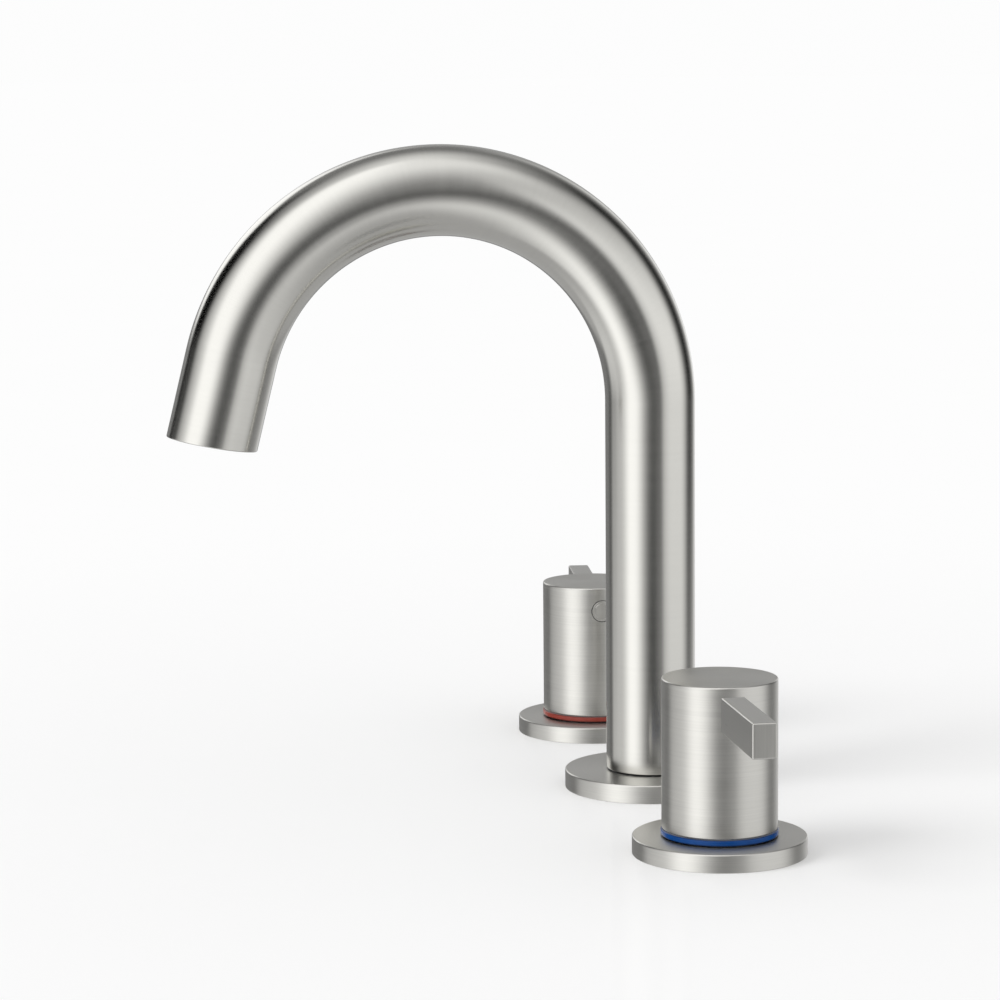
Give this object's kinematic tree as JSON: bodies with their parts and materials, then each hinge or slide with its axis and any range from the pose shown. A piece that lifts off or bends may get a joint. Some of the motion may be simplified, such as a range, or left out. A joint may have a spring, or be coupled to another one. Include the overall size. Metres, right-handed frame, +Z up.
{
  "type": "bathroom faucet",
  "caption": "Widespread bathroom faucet: high arched swivel spout between separate hot and cold cylinder handles with bar levers, with valves and fixings below the deck.",
  "frame": {"origin": "on the spout's axis, in the top face of the deck that the faucet is fastened to", "axes": "+X from the hot handle to the cold one, -Y towards the person at the basin, +Z up along the spout's column"},
  "size_m": [0.3236, 0.2, 0.3122],
  "materials": {
    "brushed_nickel": "brushed",
    "brass": "machined",
    "copper": "drawn",
    "stainless_steel": "stamped",
    "black_rubber": "matte",
    "black_nylon": "satin",
    "white_acetal": "satin",
    "white_ceramic": "lapped",
    "red_plastic": "smooth",
    "blue_plastic": "smooth"
  },
  "bodies": {
    "base": {"spout_escutcheon": "brushed_nickel", "spout_glide_ring": "black_nylon", "spout_shank": "brass", "spout_upper_o_ring": "black_rubber", "spout_lower_o_ring": "black_rubber", "spout_deck_gasket": "black_rubber", "spout_lower_gasket": "black_rubber", "spout_washer": "stainless_steel", "spout_mounting_nut": "brass", "spout_tee": "brass", "hot_lower_disc": "white_ceramic", "hot_seat_seal": "black_rubber", "hot_cartridge_housing": "brass", "hot_cartridge_o_ring": "black_rubber", "hot_bonnet_nut": "brass", "hot_valve_body": "brass", "hot_index_ring": "red_plastic", "hot_escutcheon": "brushed_nickel", "hot_ring_nut": "brass", "hot_deck_gasket": "black_rubber", "hot_washer": "stainless_steel", "hot_lock_nut": "brass", "hot_valve_union": "brass", "hot_link_tube": "copper", "hot_tee_union": "brass", "cold_lower_disc": "white_ceramic", "cold_seat_seal": "black_rubber", "cold_cartridge_housing": "brass", "cold_cartridge_o_ring": "black_rubber", "cold_bonnet_nut": "brass", "cold_valve_body": "brass", "cold_index_ring": "blue_plastic", "cold_escutcheon": "brushed_nickel", "cold_ring_nut": "brass", "cold_deck_gasket": "black_rubber", "cold_washer": "stainless_steel", "cold_lock_nut": "brass", "cold_valve_union": "brass", "cold_link_tube": "copper", "cold_tee_union": "brass"},
    "spout": {"spout_tube": "brushed_nickel", "spout_sleeve": "brass", "spout_set_screw": "stainless_steel", "spout_aerator_housing": "brushed_nickel", "spout_aerator_insert": "white_acetal", "spout_aerator_washer": "black_rubber"},
    "hot_handle": {"hot_knob": "brushed_nickel", "hot_lever": "brushed_nickel", "hot_plug": "brushed_nickel", "hot_set_screw": "stainless_steel", "hot_hub": "brass", "hot_stem": "brass", "hot_upper_disc": "white_ceramic"},
    "cold_handle": {"cold_knob": "brushed_nickel", "cold_lever": "brushed_nickel", "cold_plug": "brushed_nickel", "cold_set_screw": "stainless_steel", "cold_hub": "brass", "cold_stem": "brass", "cold_upper_disc": "white_ceramic"}
  },
  "joints": [
    {"name": "spout_swivel", "type": "hinge", "parent": "base", "child": "spout", "pos_m": [0, 0, 0], "axis": [0, 0, 1], "range_deg": [-60, 60]},
    {"name": "hot_handle_turn", "type": "hinge", "parent": "base", "child": "hot_handle", "pos_m": [-0.1016, 0, 0], "axis": [0, 0, 1], "range_deg": [0, 90]},
    {"name": "cold_handle_turn", "type": "hinge", "parent": "base", "child": "cold_handle", "pos_m": [0.1016, 0, 0], "axis": [0, 0, 1], "range_deg": [-90, 0]}
  ]
}
